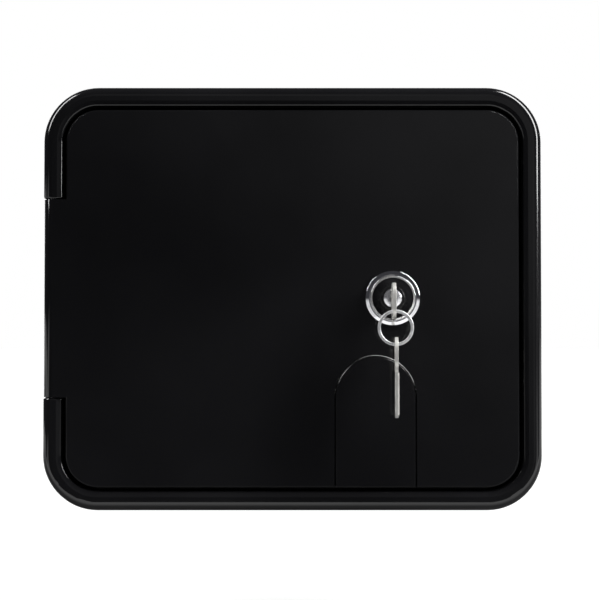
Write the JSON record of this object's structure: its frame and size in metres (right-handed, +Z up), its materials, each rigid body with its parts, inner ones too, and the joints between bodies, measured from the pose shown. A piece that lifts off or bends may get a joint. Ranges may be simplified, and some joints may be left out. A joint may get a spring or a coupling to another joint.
{
  "type": "power cord hatch",
  "caption": "Lockable wall hatch for a caravan's power cord: a round-cornered black frame, a side-hinged door with an arched cord flap, a cam lock, and keys on a split ring.",
  "frame": {"origin": "middle of the rectangle of four mounting screw holes, on the plane of the wall that the frame's back lies on", "axes": "+X to the right as seen from the front, +Y into the wall, +Z up"},
  "size_m": [0.222, 0.0557, 0.1886],
  "materials": {
    "black_shell": "gloss",
    "seal_foam": "matte",
    "lock_black": "gloss",
    "lock_chrome": "polished",
    "plug_chrome": "polished",
    "zinc_steel": "satin",
    "pin_steel": "satin",
    "key_brass": "satin",
    "key_nickel": "satin",
    "ring_steel": "polished"
  },
  "bodies": {
    "frame": {"frame": "black_shell", "hinge_pin": "pin_steel"},
    "door": {"door": "black_shell", "door_seal": "seal_foam", "lock_bezel": "lock_chrome", "lock_housing": "lock_black", "lock_washer": "zinc_steel", "lock_nut": "zinc_steel"},
    "flap": {"cord_flap": "black_shell"},
    "plug": {"lock_plug": "plug_chrome", "lock_wafers": "key_brass", "stop_washer": "zinc_steel", "lock_cam": "zinc_steel", "cam_washer": "zinc_steel", "cam_screw": "zinc_steel"},
    "key": {"key_inserted": "key_nickel"},
    "ring": {"split_ring": "ring_steel"},
    "spare_key": {"key_spare": "key_nickel"}
  },
  "joints": [
    {"name": "door_hinge", "type": "hinge", "parent": "frame", "child": "door", "pos_m": [-0.1066, -0.00785, 0], "axis": [0, 0, -1], "range_deg": [0, 170]},
    {"name": "flap_hinge", "type": "hinge", "parent": "door", "child": "flap", "pos_m": [0.03685, -0.0098, -0.0417], "axis": [-1, 0, 0], "range_deg": [0, 34]},
    {"name": "lock_turn", "type": "hinge", "parent": "door", "child": "plug", "pos_m": [0.0445, -0.012, 0], "axis": [0, -1, 0], "range_deg": [-90, 0]},
    {"name": "key_slide", "type": "slide", "parent": "plug", "child": "key", "axis": [0, -1, 0], "range_m": [0, 0.022]},
    {"name": "ring_swing", "type": "hinge", "parent": "key", "child": "ring", "pos_m": [0.0451, -0.02495, -0.00605], "axis": [-1, 0, 0], "range_deg": [-4, 60]},
    {"name": "spare_key_swing", "type": "hinge", "parent": "ring", "child": "spare_key", "pos_m": [0.0451, -0.02495, -0.02055], "axis": [-1, 0, 0], "range_deg": [-8, 60]}
  ]
}
